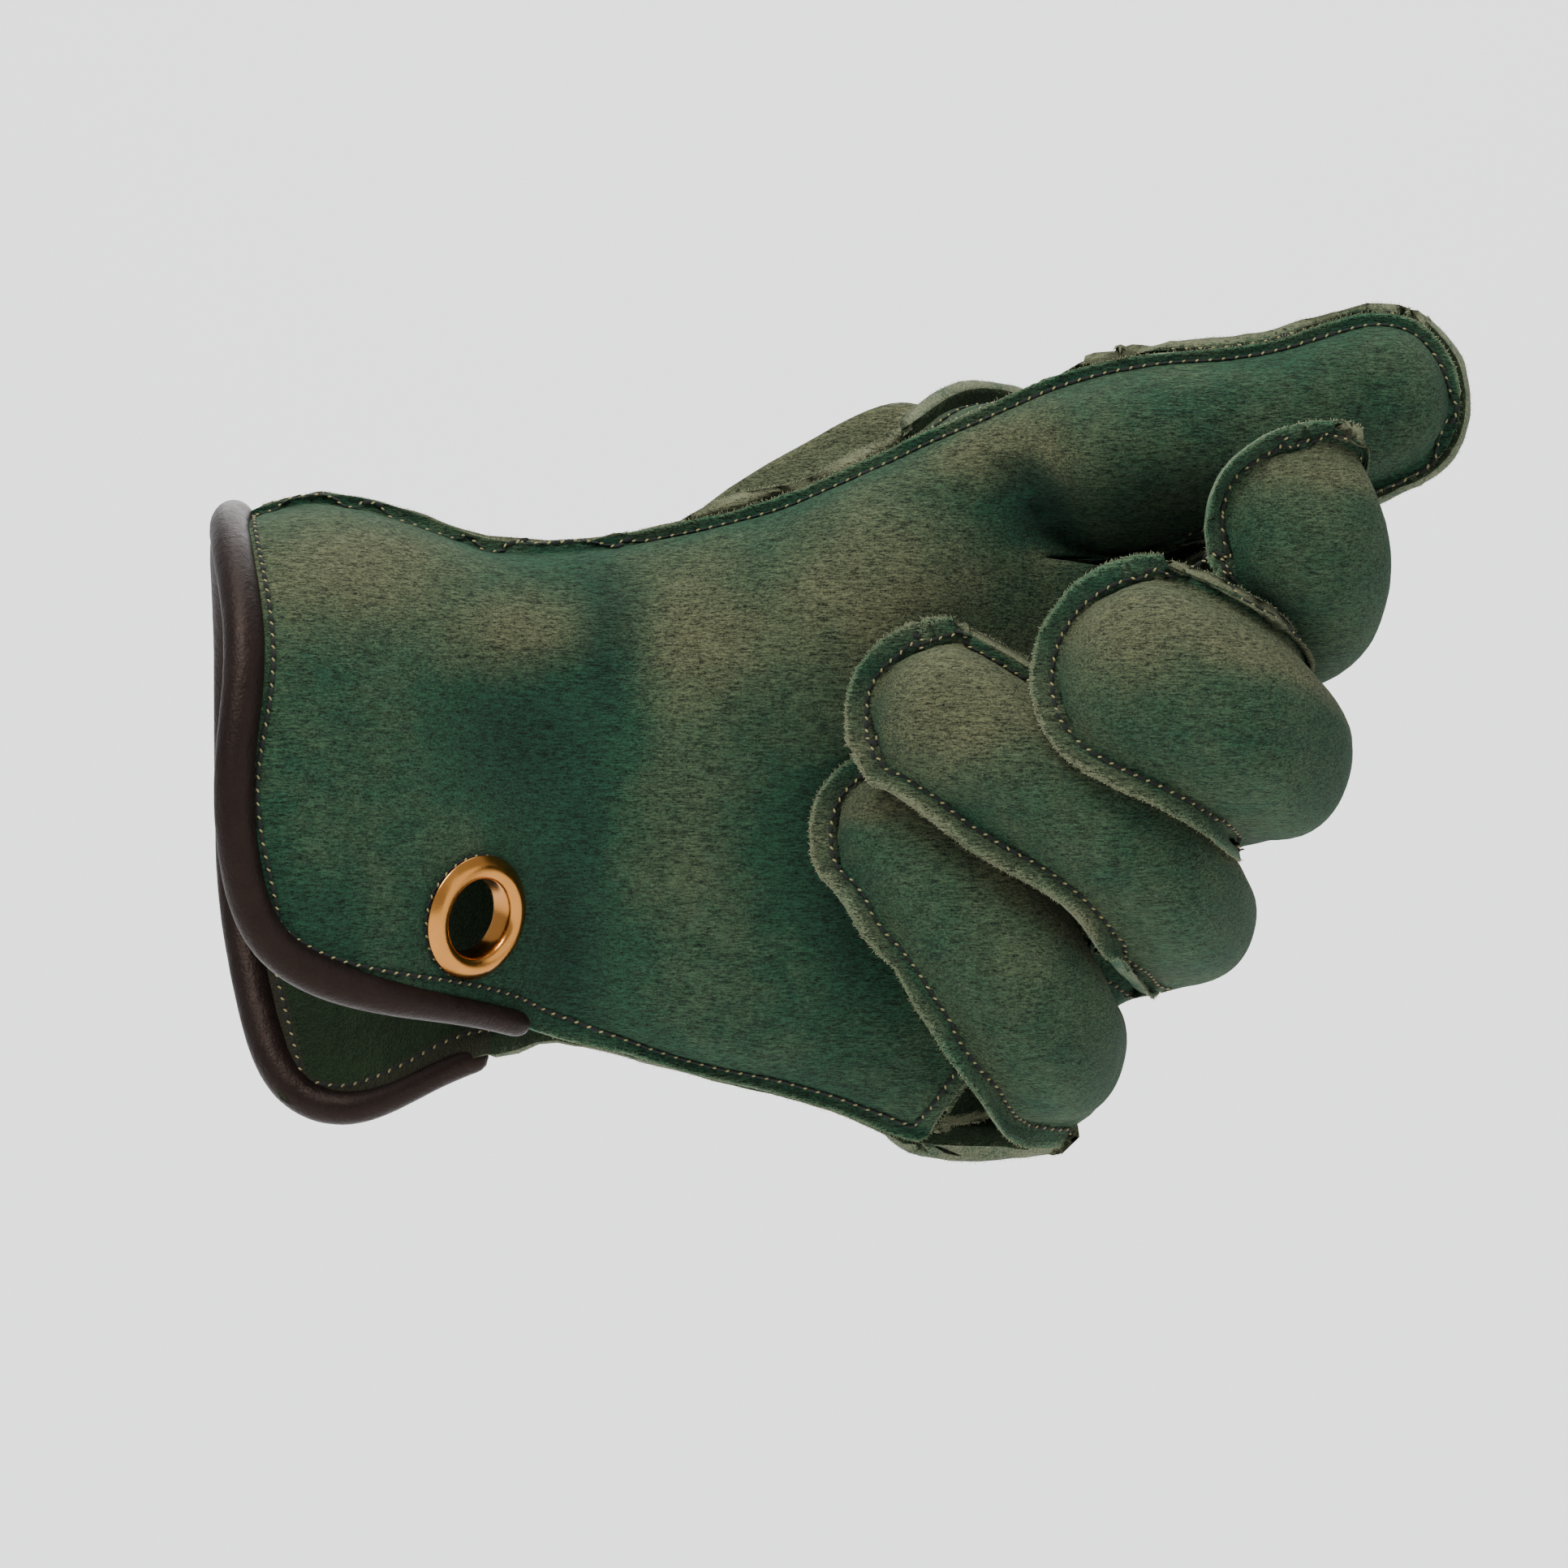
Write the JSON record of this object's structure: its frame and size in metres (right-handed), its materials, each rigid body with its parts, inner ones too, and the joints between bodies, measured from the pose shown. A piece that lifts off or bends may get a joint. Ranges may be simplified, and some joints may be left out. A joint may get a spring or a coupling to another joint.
{
  "type": "falconry glove",
  "caption": "Short left-hand falconry glove in green nubuck leather, curled on a fist, with a bound slit cuff and a brass eyelet.",
  "frame": {"origin": "middle of the wrist opening, in the plane of the cuff's mouth", "axes": "+X from the wrist opening to the fingers, +Y to the back of the hand, +Z to the thumb side"},
  "size_m": [0.1945, 0.0921, 0.1294],
  "materials": {
    "nubuck": "matt green nubuck, tan where rubbed",
    "binding": "smooth dark brown leather, slightly glossy",
    "eyelet": "polished brass"
  },
  "bodies": {
    "root": {"palm_panel": "nubuck", "back_panel": "nubuck", "thumb_back": "nubuck", "little_front": "nubuck", "ring_front": "nubuck", "middle_front": "nubuck", "index_front": "nubuck", "cuff_binding": "binding", "eyelet_front": "eyelet", "eyelet_back": "eyelet"}
  },
  "joints": []
}
